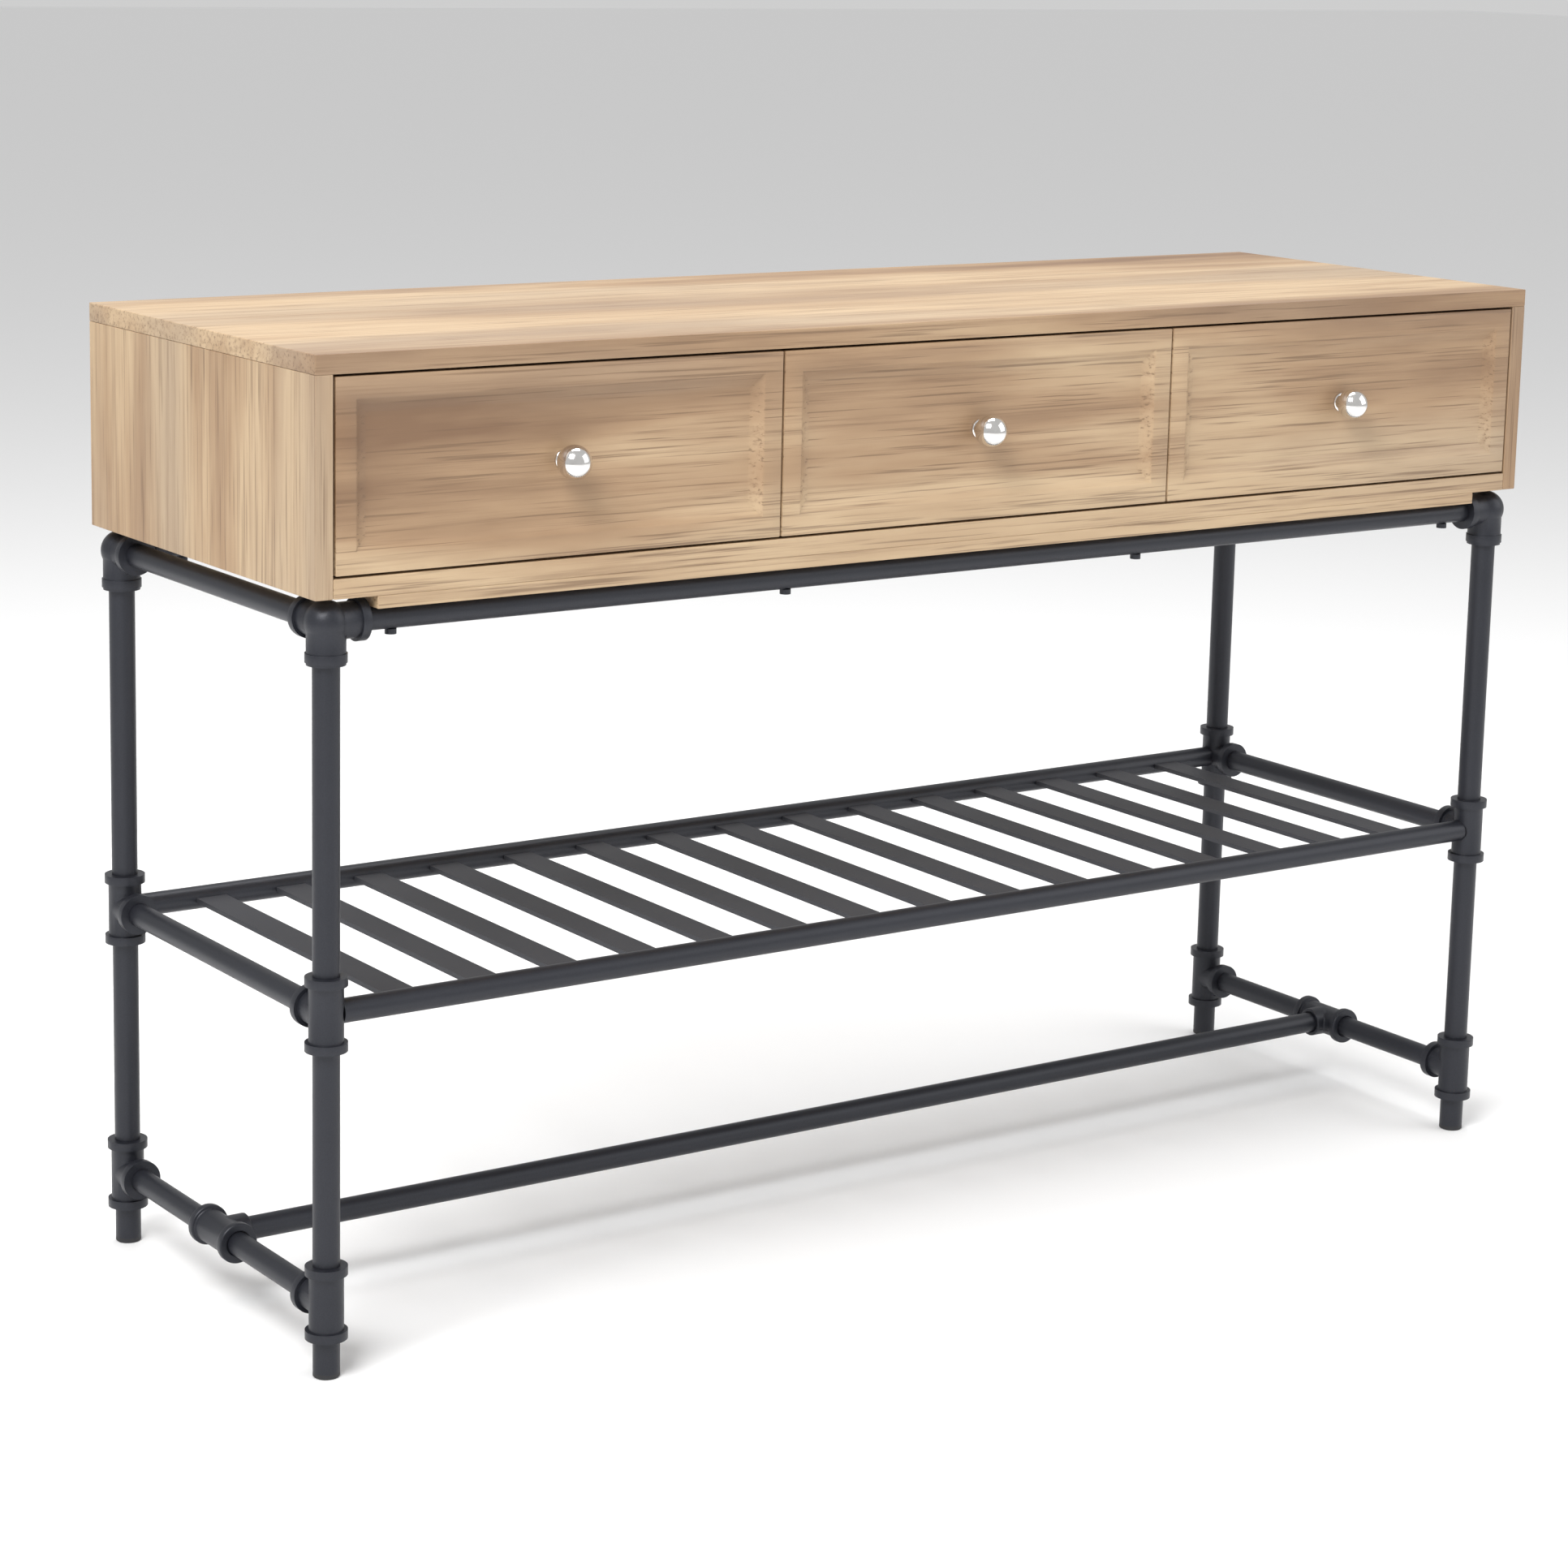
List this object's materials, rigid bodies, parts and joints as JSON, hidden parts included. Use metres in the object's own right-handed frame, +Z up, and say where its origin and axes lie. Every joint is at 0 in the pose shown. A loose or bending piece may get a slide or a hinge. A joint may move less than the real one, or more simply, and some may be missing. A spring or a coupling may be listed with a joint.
{
  "type": "console table",
  "caption": "Console table with a wood-look drawer case on a black pipe frame, with an open slatted metal shelf and a low stretcher.",
  "frame": {"origin": "on the floor, at the middle of the overall bounding box", "axes": "+X right seen from the front, +Y towards the back, +Z up; the drawers open towards -Y"},
  "size_m": [1.219, 0.413, 0.788],
  "materials": {
    "oak_laminate": "rustic oak laminate with uneven tan and grey bands and dark fine grain",
    "inner_board": "plain pale board",
    "frame_metal": "fine textured black coating",
    "slat_metal": "matt dark grey coating",
    "knob_metal": "polished",
    "runner_steel": "zinc plated",
    "glide_plastic": "moulded"
  },
  "bodies": {
    "table": {"elbow_front_left": "frame_metal", "elbow_front_right": "frame_metal", "elbow_back_left": "frame_metal", "elbow_back_right": "frame_metal", "leg_front_left": "frame_metal", "leg_front_right": "frame_metal", "leg_back_left": "frame_metal", "leg_back_right": "frame_metal", "foot_glides": "glide_plastic", "shelf_tee_front_left": "frame_metal", "shelf_tee_front_right": "frame_metal", "shelf_tee_back_left": "frame_metal", "shelf_tee_back_right": "frame_metal", "low_tee_front_left": "frame_metal", "low_tee_front_right": "frame_metal", "low_tee_back_left": "frame_metal", "low_tee_back_right": "frame_metal", "top_rail_front": "frame_metal", "top_rail_back": "frame_metal", "top_rail_left": "frame_metal", "top_rail_right": "frame_metal", "shelf_rail_front": "frame_metal", "shelf_rail_back": "frame_metal", "shelf_rail_left": "frame_metal", "shelf_rail_right": "frame_metal", "low_rail_left": "frame_metal", "low_rail_right": "frame_metal", "mid_tee_left": "frame_metal", "mid_tee_right": "frame_metal", "stretcher": "frame_metal", "shelf_slats": "slat_metal", "rail_bolts": "frame_metal", "top_panel": "oak_laminate", "bottom_panel": "oak_laminate", "left_panel": "oak_laminate", "right_panel": "oak_laminate", "back_panel": "inner_board", "strip_front": "oak_laminate", "strip_back": "oak_laminate", "dividers": "inner_board", "case_runners": "runner_steel"},
    "drawer_left": {"drawer_left_front": "oak_laminate", "drawer_left_sides": "inner_board", "drawer_left_back": "inner_board", "drawer_left_bottom": "inner_board", "drawer_left_knob": "knob_metal", "drawer_left_bars": "runner_steel"},
    "drawer_mid": {"drawer_mid_front": "oak_laminate", "drawer_mid_sides": "inner_board", "drawer_mid_back": "inner_board", "drawer_mid_bottom": "inner_board", "drawer_mid_knob": "knob_metal", "drawer_mid_bars": "runner_steel"},
    "drawer_right": {"drawer_right_front": "oak_laminate", "drawer_right_sides": "inner_board", "drawer_right_back": "inner_board", "drawer_right_bottom": "inner_board", "drawer_right_knob": "knob_metal", "drawer_right_bars": "runner_steel"}
  },
  "joints": [
    {"name": "drawer_left_slide", "type": "slide", "parent": "table", "child": "drawer_left", "axis": [0, -1, 0], "range_m": [0, 0.24]},
    {"name": "drawer_mid_slide", "type": "slide", "parent": "table", "child": "drawer_mid", "axis": [0, -1, 0], "range_m": [0, 0.24]},
    {"name": "drawer_right_slide", "type": "slide", "parent": "table", "child": "drawer_right", "axis": [0, -1, 0], "range_m": [0, 0.24]}
  ]
}
